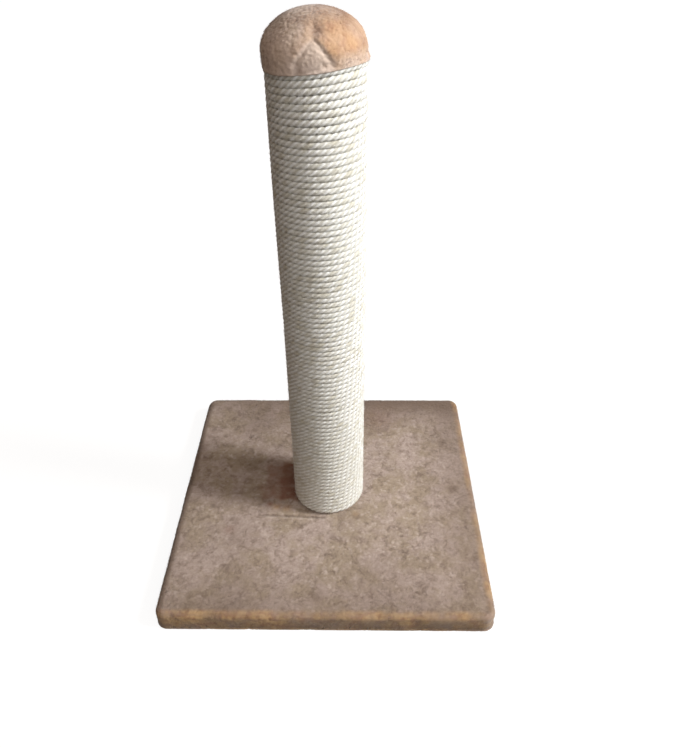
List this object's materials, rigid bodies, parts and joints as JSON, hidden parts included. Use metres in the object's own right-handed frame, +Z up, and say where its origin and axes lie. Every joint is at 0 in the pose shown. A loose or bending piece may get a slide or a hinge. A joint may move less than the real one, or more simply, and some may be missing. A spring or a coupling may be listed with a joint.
{
  "type": "cat scratching post",
  "caption": "Free-standing cat scratching post: a carpeted square base, a round post wound with sisal rope and a pleated carpet cap.",
  "frame": {"origin": "on the floor under the middle of the base, which is also the post's axis", "axes": "+Z up along the post; +X to the right and -Y towards the pictured front, both square to the base's sides"},
  "size_m": [0.4, 0.4, 0.6203],
  "materials": {
    "carpet": "short mottled plush pile",
    "sisal": "twisted natural fibre, hairy",
    "foam": "open-cell foam",
    "particle_board": "raw pressed chips",
    "plug_wood": "raw fibreboard",
    "paper_tube": "spiral-wound grey-brown paper",
    "zinc_steel": "bright zinc plate",
    "staple_wire": "galvanised wire"
  },
  "bodies": {
    "root": {"base_board": "particle_board", "base_carpet": "carpet", "carpet_hem": "carpet", "hem_staples": "staple_wire", "base_bolt": "zinc_steel", "base_washer": "zinc_steel", "tee_nut": "zinc_steel", "bottom_plug": "plug_wood", "bottom_plug_staples": "staple_wire", "post_tube": "paper_tube", "sisal_rope": "sisal", "rope_end_staples": "staple_wire", "top_plug": "plug_wood", "top_plug_staples": "staple_wire", "cap_padding": "foam", "cap_cover": "carpet", "cap_staples": "staple_wire"}
  },
  "joints": []
}
